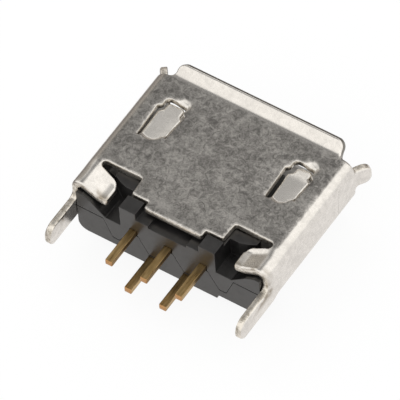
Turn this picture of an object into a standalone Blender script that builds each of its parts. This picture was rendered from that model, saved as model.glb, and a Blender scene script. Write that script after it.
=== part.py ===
"""Micro USB type B socket, upright board version, lying on its lower broad face.

+X runs across the mouth, +Y points out of the mouth and +Z out of the wide face.
The pieces are drawn in millimetres, and each finished mesh is scaled to metres.
"""

import math

import bmesh
import bpy
from mathutils import Matrix, Vector

MM = 0.001
NAME = "micro_usb_b_socket"
WELD = 0.0001
PLACES = 5
ARC_STEP = math.radians(15)
BEYOND = 1.00
FLAT = math.radians(0.1)

# Shell section, outer faces, wide face at Z = 0
SHEET = 0.25
WIDTH = 7.40
HEIGHT = 2.35
TOP_BEND = 0.45
LOW_BEND = 0.45
CHAMFER = 0.80

# Shell length, from the rear edge of the flap at Y = 0
MOUTH_Y = 4.82
WALL_REAR_Y = -0.20
LOWER_REAR_Y = 0.40
LOWER_CUT_HALF = 1.80
LOWER_CUT_Y = 0.75

# Flared mouth
FLARE_Y = 4.80
FLARE_BEND = 0.30
FLARE_ANGLE = math.radians(45)
EAR_ANGLE = math.radians(35)
LIP_REACH = 0.30
EAR_REACH = 0.43
LIP_HALF = 3.10
LOWER_LIP_HALF = 1.90
EAR_TOP_Z = -0.50
EAR_LOW_Z = -1.26
LIP_ROUND = 0.30

# Flap and notches at the rear of the wide face
FLAP_HALF = 1.08
SHOULDER_Y = 0.28
NOTCH_IN_X = 1.71
NOTCH_Y = 0.96
NOTCH_OUT_X = 3.16

# Curled retaining tabs
TAB_BEND = 0.38
TAB_TURN = math.radians(117)
TAB_SLOPE = 0.42
TAB_BACK_BEND = 0.50
TAB_BACK_TURN = math.radians(20)
TAB_LENGTH = 1.63
TAB_FRONT_Y = 0.57
TAB_ROOT_Y = 0.75
TAB_ROUND = 0.26
TAB_REAR_ROUND = 0.11

# Board legs
LEG_TOP_Z = -0.86
LEG_LOW_Z = -1.64
LEG_TIP_Y = -1.84
LEG_TOP_ROUND = 0.42
LEG_LOW_ROUND = 0.26
LEG_ROOT_ROUND = 0.20
LEG_BLEND_Y = -0.05

# Windows with spring tongues
TONGUE_X = 2.44
TONGUE_HALF = 0.425
TONGUE_TIP_IN = 0.13
TONGUE_STEP_Y = 3.54
TONGUE_STEP_LENGTH = 0.14
TONGUE_FRONT_Y = 3.93
TONGUE_DROP = 0.21
TONGUE_ROOT_SAG = 0.10
TONGUE_ROOT_STEP = 0.12
TONGUE_ROOT_REACH = 0.18
SLOT_IN = 0.10
SLOT_OUT = 0.05
SLOT_FRONT = 0.12
WINDOW_REAR_Y = 2.36
WINDOW_STEP_IN = 0.12
WINDOW_STEP_Y = 3.64
DISH_Y = 3.74
DISH_BACK = 0.30
DISH_FLOOR = 0.30
DISH_RIM = 0.56
DISH_DEPTH = 0.06

# Seam in the lower face
SEAM_GAP = 0.04
DOVETAIL_Y = 2.30
DOVETAIL_LENGTH = 0.90
DOVETAIL_REACH = 0.40
DOVETAIL_FLARE = 0.14

# Moulded housing and its rear retainer
FIT_GAP = 0.02
PLUG_GAP = 0.03
REAR_Y = -0.34
BASE_FRONT_Y = 0.95
FLANGE_FRONT_Y = 0.08
FLANGE_LIFT = 0.12
FLANGE_ROUND = 0.35
BULGE_HALF = 1.76
BULGE_DROP = 0.06
BULGE_ROOT_LIFT = 0.35
BULGE_FRONT_Y = 0.72
POST_IN_X = 1.18
POST_OUT_X = 1.78
POST_TOP_Z = -0.08
POST_FRONT_Y = 0.20
RECESS_Z = -0.37
RECESS_CENTRE_HALF = 0.71
RECESS_CENTRE_Z = -0.48
POCKET_Z = -1.04
POCKET_TOE_X = 2.36
SHOULDER_X = 3.22
SHOULDER_Z = -0.42
SHOULDER_TOE_X = 2.88
SHOULDER_TOE_Z = -0.60
POCKET_FRONT_Y = 0.55
POCKET_TOE_Y = 0.63
POCKET_TURN_X = 2.64
POCKET_TURN_Y = 0.76
RETAINER_FRONT_Y = 0.30

# Zigzag joint between housing and retainer
JOINT_GAP = 0.04
JOINT_OUT_Z = -1.10
JOINT_PEAK_Z = -1.18
JOINT_VALLEY_LIFT = 0.47
JOINT_PEAK_HALF = 0.17
JOINT_VALLEY_HALF = 0.10
JOINT_LAST_X = 2.00
JOINT_LAST_HALF = 0.13
JOINT_OUT_X = 2.43

# Mating tongue and contacts
BLADE_LENGTH = 3.75
BLADE_HALF = 1.75
BLADE_TOP_Z = -0.58
BLADE_CHAMFER = 0.12
PITCH = 0.65
CONTACTS = 5
PIN_WIDTH = 0.25
PIN_THICK = 0.20
PIN_BEND = 0.16
PIN_TIP_CUT = 0.05
TAIL_TIP_Y = -1.78
ROW_1_Z = -1.06
ROW_2_LIFT = 0.29
CONTACT_PROUD = 0.02
CONTACT_FRONT_GAP = 0.25
JOG_Y = 0.45

# Where the section's straight and bent stretches meet, measured around the sheet
FLAT_TOP = WIDTH / 2 - TOP_BEND
LOW_TANGENT = LOW_BEND * math.tan(math.pi / 8)
WALL_END_Z = -(HEIGHT - CHAMFER) + LOW_TANGENT
WALL_START = FLAT_TOP + TOP_BEND * math.pi / 2
SLANT = CHAMFER * math.sqrt(2) - 2 * LOW_TANGENT
FLAT_LOW = WIDTH / 2 - CHAMFER - LOW_TANGENT
SECTION = [
    (FLAT_TOP, None),
    (TOP_BEND * math.pi / 2, TOP_BEND),
    (WALL_END_Z * -1 - TOP_BEND, None),
    (LOW_BEND * math.pi / 4, LOW_BEND),
    (SLANT, None),
    (LOW_BEND * math.pi / 4, LOW_BEND),
    (FLAT_LOW, None),
]
AROUND = sum(length for length, _ in SECTION)
LEG_SECTION = SECTION[:2] + [(AROUND, None)]
TAB_SECTION = [
    (TAB_BEND * TAB_TURN, TAB_BEND),
    (TAB_SLOPE, None),
    (TAB_BACK_BEND * TAB_BACK_TURN, -TAB_BACK_BEND),
    (AROUND, None),
]


def wall_mark(z):
    """Distance around the sheet of a height on the side wall."""
    return WALL_START - TOP_BEND - z


WINDOW_X = TONGUE_X + (SLOT_OUT - SLOT_IN) / 2
WINDOW_HALF = TONGUE_HALF + (SLOT_IN + SLOT_OUT) / 2
WINDOW_FRONT_Y = TONGUE_FRONT_Y + SLOT_FRONT
TAB_TIP = WALL_START - TAB_LENGTH
LIP_END = FLARE_Y + FLARE_BEND * FLARE_ANGLE + LIP_REACH
EAR_END = FLARE_Y + FLARE_BEND * EAR_ANGLE + EAR_REACH
BLADE_LOW_Z = ROW_1_Z - PIN_THICK / 2 + CONTACT_PROUD

# Heights that follow the lower face of the shell
FLANGE_LOW_Z = FLANGE_LIFT - HEIGHT
BULGE_LOW_Z = -HEIGHT - BULGE_DROP
BULGE_ROOT_Z = BULGE_ROOT_LIFT - HEIGHT
JOINT_VALLEY_Z = JOINT_VALLEY_LIFT - HEIGHT
ROW_2_Z = ROW_2_LIFT - HEIGHT


def rounded(corners):
    """Closed outline with an arc at each corner (x, y, radius)."""
    outline = []
    for index, (x, y, radius) in enumerate(corners):
        here = Vector((x, y))
        if radius == 0:
            outline.append(here)
            continue
        back = (Vector(corners[index - 1][:2]) - here).normalized()
        ahead = (Vector(corners[(index + 1) % len(corners)][:2]) - here).normalized()
        half = back.angle(ahead) / 2
        centre = here + (back + ahead).normalized() * (radius / math.sin(half))
        start = here + back * (radius / math.tan(half)) - centre
        end = here + ahead * (radius / math.tan(half)) - centre
        turn = math.copysign(math.pi - 2 * half, start.x * end.y - start.y * end.x)
        steps = max(2, math.ceil(abs(turn) / ARC_STEP))
        for step in range(steps + 1):
            outline.append(centre + Matrix.Rotation(turn * step / steps, 2) @ start)
    return outline


def mirrored(half):
    """Half outline on +X, listed from the middle to the middle, and its mirror image."""
    return half + [(-x, y, radius) for x, y, radius in reversed(half)]


def select_only(obj):
    bpy.ops.object.select_all(action="DESELECT")
    obj.select_set(True)
    bpy.context.view_layer.objects.active = obj


def apply_modifiers(obj):
    select_only(obj)
    for modifier in list(obj.modifiers):
        bpy.ops.object.modifier_apply(modifier=modifier.name)


def clean(obj):
    """Weld, and round each place so that faces meant to meet lie in one plane."""
    mesh = bmesh.new()
    mesh.from_mesh(obj.data)
    bmesh.ops.remove_doubles(mesh, verts=mesh.verts, dist=WELD)
    for vertex in mesh.verts:
        vertex.co = [round(value, PLACES) for value in vertex.co]
    bmesh.ops.dissolve_limit(mesh, angle_limit=FLAT, verts=mesh.verts, edges=mesh.edges)
    bmesh.ops.recalc_face_normals(mesh, faces=mesh.faces)
    mesh.to_mesh(obj.data)
    mesh.free()


def curve_object(name, outlines, cyclic, extrude):
    curve = bpy.data.curves.new(name, "CURVE")
    curve.dimensions = "2D"
    curve.fill_mode = "BOTH" if cyclic else "NONE"
    curve.extrude = extrude
    for outline in outlines:
        spline = curve.splines.new("POLY")
        spline.points.add(len(outline) - 1)
        for point, place in zip(spline.points, outline):
            point.co = (place[0], place[1], 0, 1)
        spline.use_cyclic_u = cyclic
    obj = bpy.data.objects.new(name, curve)
    bpy.context.scene.collection.objects.link(obj)
    return obj


PLANES = {
    "XY": Matrix(((1, 0, 0), (0, 1, 0), (0, 0, 1))),
    "XZ": Matrix(((1, 0, 0), (0, 0, -1), (0, 1, 0))),
    "YZ": Matrix(((0, 0, 1), (1, 0, 0), (0, 1, 0))),
}


def to_plane(obj, plane, middle):
    """Turn a drawing to its plane, with its thickness centred at middle on the third axis."""
    select_only(obj)
    bpy.ops.object.convert(target="MESH")
    turn = PLANES[plane].to_4x4()
    third = Vector([1.0 - abs(PLANES[plane].col[0][i]) - abs(PLANES[plane].col[1][i]) for i in range(3)])
    obj.data.transform(Matrix.Translation(third * middle) @ turn)
    clean(obj)
    return obj


def extruded(name, outlines, plane, low, high):
    """Solid between low and high on the axis across the plane. Outlines after the first are holes."""
    obj = curve_object(name, outlines, True, (high - low) / 2)
    return to_plane(obj, plane, (low + high) / 2)


def box(name, x, y, z):
    bpy.ops.mesh.primitive_cube_add(size=1)
    obj = bpy.context.object
    obj.name = name
    size = Matrix.Diagonal((x[1] - x[0], y[1] - y[0], z[1] - z[0], 1))
    middle = Vector([(low + high) / 2 for low, high in (x, y, z)])
    obj.data.transform(Matrix.Translation(middle) @ size)
    clean(obj)
    return obj


def combine(target, tool, operation):
    """Boolean of two solids. The tool is used up."""
    modifier = target.modifiers.new(operation.lower(), "BOOLEAN")
    modifier.operation = operation
    modifier.solver = "EXACT"
    modifier.object = tool
    apply_modifiers(target)
    bpy.data.objects.remove(tool)
    return target


def cut(target, *tools):
    for tool in tools:
        combine(target, tool, "DIFFERENCE")
    return target


def both_sides(name, x, y, z):
    """The same box on +X and on -X."""
    return box(name, x, y, z), box(name, (-x[1], -x[0]), y, z)


def smooth(value):
    value = min(max(value, 0), 1)
    return value * value * (3 - 2 * value)


def walk(place, heading, outward, pieces, distance):
    """Point and outward normal at a distance along straights and bends."""
    side = heading.x * outward.y - heading.y * outward.x
    for length, radius in pieces:
        step = min(distance, length)
        if radius is None:
            place = place + heading * step
        else:
            turn = Matrix.Rotation(-side * step / radius, 2)
            centre = place - outward * radius
            place = centre + turn @ (place - centre)
            heading = turn @ heading
            outward = turn @ outward
        distance -= step
        if distance <= 0:
            break
    return place, outward


def section_at(around, y):
    """Point and outward normal of the folded section. Tabs and legs leave the plain section."""
    top = Vector((0, 0)), Vector((1, 0)), Vector((0, 1))
    place, outward = walk(*top, SECTION, around)
    if TAB_TIP - WELD < around < WALL_START and y < NOTCH_Y - WELD:
        wall = Vector((WIDTH / 2, -TOP_BEND)), Vector((0, 1)), Vector((1, 0))
        other, normal = walk(*wall, TAB_SECTION, WALL_START - around)
        share = smooth((y - TAB_FRONT_Y + 0.15) / (NOTCH_Y - TAB_FRONT_Y + 0.15))
        place = other.lerp(place, share)
        outward = normal.lerp(outward, share).normalized()
    if around > wall_mark(WALL_END_Z) and y < LOWER_REAR_Y:
        other, normal = walk(*top, LEG_SECTION, around)
        share = smooth((y - LEG_BLEND_Y) / (LOWER_REAR_Y - LEG_BLEND_Y))
        place = other.lerp(place, share)
        outward = normal.lerp(outward, share).normalized()
    return place, outward


def tongue_drop(around, y):
    """How far the spring tongue is pressed in. Its root bends along an arc."""
    across = abs(around - TONGUE_X) / TONGUE_HALF
    if across > 1.02 or y > TONGUE_FRONT_Y + 0.02:
        return 0
    root = WINDOW_REAR_Y - TONGUE_ROOT_SAG * (1 - min(across, 1) ** 2)
    share = max((y - root) / (TONGUE_FRONT_Y - root), 0)
    step = TONGUE_ROOT_STEP * smooth((y - root) / TONGUE_ROOT_REACH)
    return step + (TONGUE_DROP - TONGUE_ROOT_STEP) * share


def dish_drop(around, y):
    """Shallow coined dish in the plate around the front end of the window."""
    reach = math.hypot(around - WINDOW_X, max(y - DISH_Y, 0))
    rim = 1 - smooth((reach - DISH_FLOOR) / (DISH_RIM - DISH_FLOOR))
    return DISH_DEPTH * rim * smooth((y - DISH_Y) / DISH_BACK + 1)


def pressed_in(around, y):
    """Depth of the press. The tongue's share ends halfway across the slot, and narrows at its step."""
    narrowed = min(max((y - WINDOW_STEP_Y) / TONGUE_STEP_LENGTH + 0.3, 0), 1)
    reach = TONGUE_HALF + 0.01 - (TONGUE_TIP_IN - 0.01) * narrowed
    on_tongue = abs(around - TONGUE_X) < reach and y < TONGUE_FRONT_Y + 0.01
    return tongue_drop(around, y) if on_tongue else dish_drop(around, y)


def fold(around, y, depth):
    """Where a point of the flat sheet lies on the folded shell."""
    place, outward = section_at(around, y)
    on_wall = WALL_START - WELD < around < wall_mark(WALL_END_Z) + WELD
    angle = EAR_ANGLE if on_wall else FLARE_ANGLE
    past = max(y - FLARE_Y, 0)
    turned = min(past / FLARE_BEND, angle)
    straight = past - turned * FLARE_BEND
    along = min(y, FLARE_Y) + FLARE_BEND * math.sin(turned) + straight * math.cos(turned)
    rise = FLARE_BEND * (1 - math.cos(turned)) + straight * math.sin(turned)
    rise += depth * math.cos(turned) - pressed_in(around, y)
    along -= depth * math.sin(turned)
    flat = place + outward * rise
    return Vector((flat.x, along, flat.y))


def blank_outline():
    """Half of the flat sheet, from the middle of the wide face round to the seam."""
    leg_top = wall_mark(LEG_TOP_Z)
    leg_low = wall_mark(LEG_LOW_Z)
    ear_top = wall_mark(EAR_TOP_Z)
    ear_low = wall_mark(EAR_LOW_Z)
    lower_cut = AROUND - LOWER_CUT_HALF
    lower_lip = AROUND - LOWER_LIP_HALF
    return rounded([
        (0, 0, 0),
        (FLAP_HALF, 0, 0.06),
        (FLAP_HALF, SHOULDER_Y, 0.05),
        (NOTCH_IN_X, SHOULDER_Y, 0.05),
        (NOTCH_IN_X + 0.04, NOTCH_Y, 0.07),
        (NOTCH_OUT_X, NOTCH_Y, 0.11),
        (NOTCH_OUT_X, TAB_ROOT_Y, 0.11),
        (TAB_TIP, TAB_FRONT_Y, TAB_ROUND),
        (TAB_TIP, WALL_REAR_Y, TAB_REAR_ROUND),
        (leg_top, WALL_REAR_Y, LEG_ROOT_ROUND),
        (leg_top, LEG_TIP_Y, LEG_TOP_ROUND),
        (leg_low, LEG_TIP_Y, LEG_LOW_ROUND),
        (leg_low, LOWER_REAR_Y, 0.10),
        (lower_cut, LOWER_REAR_Y, 0.10),
        (lower_cut, LOWER_CUT_Y, 0.10),
        (AROUND, LOWER_CUT_Y, 0),
        (AROUND, LIP_END, 0),
        (lower_lip, LIP_END, LIP_ROUND),
        (lower_lip, MOUTH_Y, 0.12),
        (ear_low, MOUTH_Y, 0.12),
        (ear_low, EAR_END, LIP_ROUND),
        (ear_top, EAR_END, LIP_ROUND),
        (ear_top, MOUTH_Y, 0.12),
        (LIP_HALF, MOUTH_Y, 0.20),
        (LIP_HALF, LIP_END, LIP_ROUND),
        (0, LIP_END, 0),
    ])


def window_outline():
    """Slot that frees the spring tongue on three sides."""
    left, right = WINDOW_X - WINDOW_HALF, WINDOW_X + WINDOW_HALF
    front_left, front_right = left + WINDOW_STEP_IN, right - WINDOW_STEP_IN
    inner, outer = TONGUE_X - TONGUE_HALF, TONGUE_X + TONGUE_HALF
    tip_in, tip_out = inner + TONGUE_TIP_IN, outer - TONGUE_TIP_IN
    tip_y = TONGUE_STEP_Y + TONGUE_STEP_LENGTH
    return rounded([
        (left, WINDOW_REAR_Y, 0.04),
        (inner, WINDOW_REAR_Y, 0.03),
        (inner, TONGUE_STEP_Y, 0.08),
        (tip_in, tip_y, 0.06),
        (tip_in, TONGUE_FRONT_Y, 0.08),
        (tip_out, TONGUE_FRONT_Y, 0.08),
        (tip_out, tip_y, 0.06),
        (outer, TONGUE_STEP_Y, 0.08),
        (outer, WINDOW_REAR_Y, 0.01),
        (right, WINDOW_REAR_Y, 0.04),
        (right, WINDOW_STEP_Y, 0.06),
        (front_right, WINDOW_STEP_Y + 0.08, 0.04),
        (front_right, WINDOW_FRONT_Y, 0.13),
        (front_left, WINDOW_FRONT_Y, 0.13),
        (front_left, WINDOW_STEP_Y + 0.08, 0.04),
        (left, WINDOW_STEP_Y, 0.06),
    ])


def slice_sheet(mesh, axis, places, limits):
    """Cut lines across the faces whose middles lie inside the limits."""
    normal = Vector((0, 0, 0))
    normal[axis] = 1
    for place in places:
        faces = []
        for face in mesh.faces:
            middle = face.calc_center_bounds()
            if all(low <= middle[i] <= high for i, (low, high) in enumerate(limits)):
                faces.append(face)
        geom = [*{part for face in faces for part in (*face.verts, *face.edges)}, *faces]
        bmesh.ops.bisect_plane(mesh, geom=geom, dist=WELD, plane_co=normal * place, plane_no=normal)


def spaced(start, end, count):
    return [start + (end - start) * step / count for step in range(count + 1)]


def score_bends(mesh):
    """Give the flat sheet the lines along which it bends."""
    everywhere = [(-BEYOND, AROUND + BEYOND), (-9, 9)]
    low_start = wall_mark(WALL_END_Z)
    low_end = low_start + LOW_BEND * math.pi / 4
    bottom_start = low_end + SLANT
    flare_end = FLARE_Y + FLARE_BEND * FLARE_ANGLE
    ear_flare_end = FLARE_Y + FLARE_BEND * EAR_ANGLE
    window = (TONGUE_X - TONGUE_HALF - 0.01, TONGUE_X + TONGUE_HALF + 0.01)
    slice_sheet(mesh, 0, [FLAT_TOP, WALL_START, low_start, low_end, bottom_start], everywhere)
    slice_sheet(mesh, 0, [AROUND - FLAT_LOW, window[0], window[1]], everywhere)
    slice_sheet(mesh, 0, [AROUND - SEAM_GAP / 2], everywhere)
    slice_sheet(mesh, 1, [NOTCH_Y, LOWER_REAR_Y, FLARE_Y], everywhere)
    slice_sheet(mesh, 0, [WINDOW_X - DISH_RIM, WINDOW_X + DISH_RIM], everywhere)
    slice_sheet(mesh, 1, [WINDOW_REAR_Y - TONGUE_ROOT_SAG], everywhere)
    slice_sheet(mesh, 1, [DISH_Y - DISH_BACK, DISH_Y + DISH_RIM], everywhere)
    tab = [(TAB_TIP, WALL_START), (-9, NOTCH_Y)]
    slice_sheet(mesh, 0, spaced(FLAT_TOP, WALL_START, 6)[1:-1], [(FLAT_TOP, WALL_START), (-9, 9)])
    slice_sheet(mesh, 0, spaced(TAB_TIP, FLAT_TOP, 8)[1:-1], tab)
    slice_sheet(mesh, 1, spaced(TAB_FRONT_Y - 0.15, NOTCH_Y, 5)[:-1], tab)
    for start in (low_start, bottom_start):
        end = start + LOW_BEND * math.pi / 4
        slice_sheet(mesh, 0, spaced(start, end, 3)[1:-1], [(start, end), (-9, 9)])
    leg = [(low_start, AROUND), (-9, LOWER_REAR_Y)]
    slice_sheet(mesh, 1, spaced(LEG_BLEND_Y, LOWER_REAR_Y, 6)[:-1], leg)
    slice_sheet(mesh, 1, spaced(FLARE_Y, flare_end, 4)[1:], [(-1, WALL_START), (FLARE_Y, 9)])
    slice_sheet(mesh, 1, spaced(FLARE_Y, flare_end, 4)[1:], [(low_end, AROUND), (FLARE_Y, 9)])
    slice_sheet(mesh, 1, spaced(FLARE_Y, ear_flare_end, 4)[1:], [(WALL_START, low_start), (FLARE_Y, 9)])
    root = WINDOW_REAR_Y - TONGUE_ROOT_SAG
    tongue = [window, (root, TONGUE_FRONT_Y)]
    slice_sheet(mesh, 1, spaced(root, WINDOW_REAR_Y + TONGUE_ROOT_REACH, 7)[1:], tongue)
    slice_sheet(mesh, 1, spaced(WINDOW_REAR_Y + TONGUE_ROOT_REACH, TONGUE_FRONT_Y, 3)[1:-1], tongue)
    slice_sheet(mesh, 0, spaced(*window, 6)[1:-1], tongue)
    dish_ends = WINDOW_X - DISH_RIM, WINDOW_X + DISH_RIM
    dish = [dish_ends, (DISH_Y - DISH_BACK, DISH_Y + DISH_RIM)]
    slice_sheet(mesh, 0, spaced(*dish_ends, 14)[1:-1], dish)
    slice_sheet(mesh, 1, spaced(*dish[1], 9)[1:-1], dish)


def make_shell():
    """One sheet: cut flat, bent along its lines, mirrored, and closed by a dovetailed seam."""
    shell = extruded("shell", [blank_outline(), window_outline()], "XY", -SHEET, 0)
    mesh = bmesh.new()
    mesh.from_mesh(shell.data)
    score_bends(mesh)
    middle = [face for face in mesh.faces if all(v.co.x < WELD for v in face.verts)]
    seam = [face for face in mesh.faces if all(v.co.x > AROUND - WELD for v in face.verts)]
    bmesh.ops.delete(mesh, geom=middle + seam, context="FACES")
    bmesh.ops.triangulate(mesh, faces=mesh.faces)
    for vertex in mesh.verts:
        vertex.co = [round(value, PLACES) for value in fold(*vertex.co)]
    mesh.to_mesh(shell.data)
    mesh.free()
    mirror = shell.modifiers.new("mirror", "MIRROR")
    mirror.merge_threshold = WELD
    mirror.use_clip = True
    apply_modifiers(shell)
    cut(shell, seam_cutter())
    return shell


def seam_cutter():
    """Thin ribbon that parts the lower face along a dovetail."""
    reach, neck = DOVETAIL_REACH, DOVETAIL_FLARE
    front = DOVETAIL_Y + DOVETAIL_LENGTH
    line = [
        (0, LOWER_CUT_Y - 0.5),
        (0, DOVETAIL_Y),
        (reach, DOVETAIL_Y - neck),
        (reach, front + neck),
        (0, front),
        (0, LIP_END + 0.5),
    ]
    ribbon = curve_object("seam_cutter", [line], False, HEIGHT / 2)
    to_plane(ribbon, "XY", -HEIGHT - HEIGHT / 4)
    wall = ribbon.modifiers.new("gap", "SOLIDIFY")
    wall.thickness = SEAM_GAP
    wall.offset = 0
    wall.use_even_offset = True
    apply_modifiers(ribbon)
    clean(ribbon)
    return ribbon


def inner_section(gap):
    """Outline of what fits inside the folded section, this far inside its outer faces."""
    side = WIDTH / 2 - gap
    slant = gap * (math.sqrt(2) - 1)
    corner = max(TOP_BEND - gap, 0.05)
    low = max(LOW_BEND - gap, 0.05)
    return rounded(mirrored([
        (side, -gap, corner),
        (side, slant - (HEIGHT - CHAMFER), low),
        (WIDTH / 2 - CHAMFER - slant, gap - HEIGHT, low),
    ]))


def flange_outline():
    """Rear flange between the side walls."""
    side = WIDTH / 2 - SHEET - FIT_GAP
    return rounded(mirrored([
        (side, -SHEET - FIT_GAP, TOP_BEND - SHEET),
        (side, FLANGE_LOW_Z, FLANGE_ROUND),
    ]))


def moulding():
    """Everything that the housing and the retainer fill together."""
    plug = extruded("moulding", [inner_section(SHEET + PLUG_GAP)], "XZ", 0, BASE_FRONT_Y)
    combine(plug, extruded("flange", [flange_outline()], "XZ", REAR_Y, FLANGE_FRONT_Y), "UNION")
    foot = box("foot", (-BULGE_HALF, BULGE_HALF), (REAR_Y, BULGE_FRONT_Y), (BULGE_LOW_Z, BULGE_ROOT_Z))
    combine(plug, foot, "UNION")
    return plug


def joint_outline(gap):
    """Area below the zigzag joint."""
    valley_x = PITCH
    peak = JOINT_PEAK_Z - gap
    valley = JOINT_VALLEY_Z - gap
    half = [
        (JOINT_PEAK_HALF, peak, 0),
        (valley_x - JOINT_VALLEY_HALF, valley, 0.04),
        (valley_x + JOINT_VALLEY_HALF, valley, 0.04),
        (2 * PITCH - JOINT_PEAK_HALF, peak, 0),
        (2 * PITCH + JOINT_PEAK_HALF, peak, 0),
        (JOINT_LAST_X - JOINT_LAST_HALF, valley, 0.06),
        (JOINT_LAST_X + JOINT_LAST_HALF, valley, 0.08),
        (JOINT_OUT_X, JOINT_OUT_Z - gap, 0.03),
        (WIDTH, JOINT_OUT_Z - gap, 0),
        (WIDTH, -2 * HEIGHT, 0),
    ]
    return rounded(mirrored(half))


def contact_path(row, grow):
    """Side view of a terminal, from its tail tip to the front of its blade."""
    front = BLADE_LENGTH - CONTACT_FRONT_GAP + grow
    if row == 1:
        return [Vector((TAIL_TIP_Y, ROW_1_Z)), Vector((front, ROW_1_Z))]
    outline = rounded([
        (TAIL_TIP_Y, ROW_2_Z, 0),
        (JOG_Y, ROW_2_Z, PIN_BEND),
        (JOG_Y, ROW_1_Z, PIN_BEND),
        (front, ROW_1_Z, 0),
    ])
    return outline


def contact_row(index):
    return 1 if index % 2 == 0 else 2


def contact_x(index):
    return (index - (CONTACTS - 1) / 2) * PITCH


def strip(name, row, x, grow):
    """Flat strip bent in side view, with an even clearance on every side."""
    ribbon = curve_object(name, [contact_path(row, grow)], False, PIN_WIDTH / 2 + grow)
    to_plane(ribbon, "YZ", x)
    wall = ribbon.modifiers.new("thickness", "SOLIDIFY")
    wall.thickness = PIN_THICK + 2 * grow
    wall.offset = 0
    wall.use_even_offset = True
    apply_modifiers(ribbon)
    clean(ribbon)
    return ribbon


def make_contact(index):
    contact = strip(f"contact_{index + 1}", contact_row(index), contact_x(index), 0)
    mesh = bmesh.new()
    mesh.from_mesh(contact.data)
    tip = [edge for edge in mesh.edges if all(v.co.y < TAIL_TIP_Y + WELD for v in edge.verts)]
    bmesh.ops.bevel(mesh, geom=tip, offset=PIN_TIP_CUT, segments=2, profile=0.5, affect="EDGES")
    mesh.to_mesh(contact.data)
    mesh.free()
    return contact


def contact_channels():
    return [
        strip("channel_cutter", contact_row(index), contact_x(index), FIT_GAP)
        for index in range(CONTACTS)
    ]


def jog_slots():
    """Slots behind the retainer that take the upright stretch of the second row."""
    reach = PIN_WIDTH / 2 + FIT_GAP
    tall = PIN_THICK / 2 + FIT_GAP
    slots = []
    for index in range(CONTACTS):
        if contact_row(index) == 2:
            x = contact_x(index)
            slots.append(box(
                "slot_cutter",
                (x - reach, x + reach),
                (0, JOG_Y + PIN_THICK / 2 + FIT_GAP),
                (ROW_2_Z - tall, ROW_1_Z + tall),
            ))
    return slots


def pocket_outline():
    """Rear view of the pocket that the curled tab bends into."""
    return [
        (POST_OUT_X, HEIGHT),
        (POST_OUT_X, POCKET_Z),
        (POCKET_TOE_X, POCKET_Z),
        (SHOULDER_TOE_X, SHOULDER_TOE_Z),
        (SHOULDER_X, SHOULDER_Z),
        (WIDTH, SHOULDER_Z),
        (WIDTH, HEIGHT),
    ]


def pocket_plan():
    """Pocket seen from above. Its outer part runs on under the root of the tab."""
    behind, ahead = REAR_Y - BEYOND, BASE_FRONT_Y + BEYOND
    return [
        (POST_OUT_X, behind),
        (POST_OUT_X, POCKET_FRONT_Y),
        (TAB_TIP - 0.20, POCKET_FRONT_Y),
        (TAB_TIP + 0.05, POCKET_TOE_Y),
        (POCKET_TURN_X, POCKET_TURN_Y),
        (POCKET_TURN_X + 0.14, ahead),
        (WIDTH, ahead),
        (WIDTH, behind),
    ]


def pocket_cutters():
    tools = []
    for side in (-1, 1):
        across = [(side * x, z) for x, z in pocket_outline()]
        above = [(side * x, y) for x, y in pocket_plan()]
        tool = extruded("pocket_cutter", [across], "XZ", REAR_Y - BEYOND, BASE_FRONT_Y + BEYOND)
        combine(tool, extruded("plan_keep", [above], "XY", -HEIGHT, HEIGHT), "INTERSECT")
        tools.append(tool)
    return tools


def make_housing():
    """Moulded insulator: base, posts, pockets, mating tongue and contact channels."""
    housing = moulding()
    housing.name = "housing"
    below = extruded("joint_cutter", [joint_outline(0)], "XZ", REAR_Y - BEYOND, RETAINER_FRONT_Y + FIT_GAP)
    cut(housing, below)
    posts = both_sides(
        "post",
        (POST_IN_X, POST_OUT_X),
        (REAR_Y, POST_FRONT_Y),
        (POCKET_Z, POST_TOP_Z),
    )
    for post in posts:
        combine(housing, post, "UNION")
    cut(housing, *pocket_cutters())
    wide, deep = POST_IN_X, RECESS_CENTRE_HALF
    cut(housing, box("recess_cutter", (-wide, wide), (REAR_Y - BEYOND, SHOULDER_Y), (RECESS_Z, HEIGHT)))
    centre = box("recess_cutter", (-deep, deep), (REAR_Y - BEYOND, SHOULDER_Y), (RECESS_CENTRE_Z, HEIGHT))
    cut(housing, centre)
    combine(housing, make_blade(), "UNION")
    cut(housing, *contact_channels(), *jog_slots())
    return housing


def make_blade():
    """Mating tongue with a lead-in chamfer at its front."""
    back = BASE_FRONT_Y - 0.3
    side_view = rounded([
        (back, BLADE_TOP_Z, 0),
        (back, BLADE_LOW_Z, 0),
        (BLADE_LENGTH, BLADE_LOW_Z, BLADE_CHAMFER),
        (BLADE_LENGTH, BLADE_TOP_Z, BLADE_CHAMFER),
    ])
    return extruded("blade", [side_view], "YZ", -BLADE_HALF, BLADE_HALF)


def make_retainer():
    """Rear insert that closes the zigzag joint under the tails."""
    retainer = moulding()
    retainer.name = "retainer"
    below = extruded("joint_keep", [joint_outline(JOINT_GAP)], "XZ", REAR_Y - BEYOND, RETAINER_FRONT_Y)
    combine(retainer, below, "INTERSECT")
    cut(retainer, *contact_channels())
    return retainer


def material(name, colour, metallic, roughness):
    made = bpy.data.materials.new(name)
    made.use_nodes = True
    shader = made.node_tree.nodes["Principled BSDF"]
    shader.inputs["Base Color"].default_value = (*colour, 1)
    shader.inputs["Metallic"].default_value = metallic
    shader.inputs["Roughness"].default_value = roughness
    made.diffuse_color = (*colour, 1)
    return made


def bottom_centre(objects):
    """Middle of the bottom of the box around all the pieces."""
    places = [vertex.co for obj in objects for vertex in obj.data.vertices]
    low, high = [[pick(place[axis] for place in places) for axis in range(3)] for pick in (min, max)]
    return Vector(((low[0] + high[0]) / 2, (low[1] + high[1]) / 2, low[2]))


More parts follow.
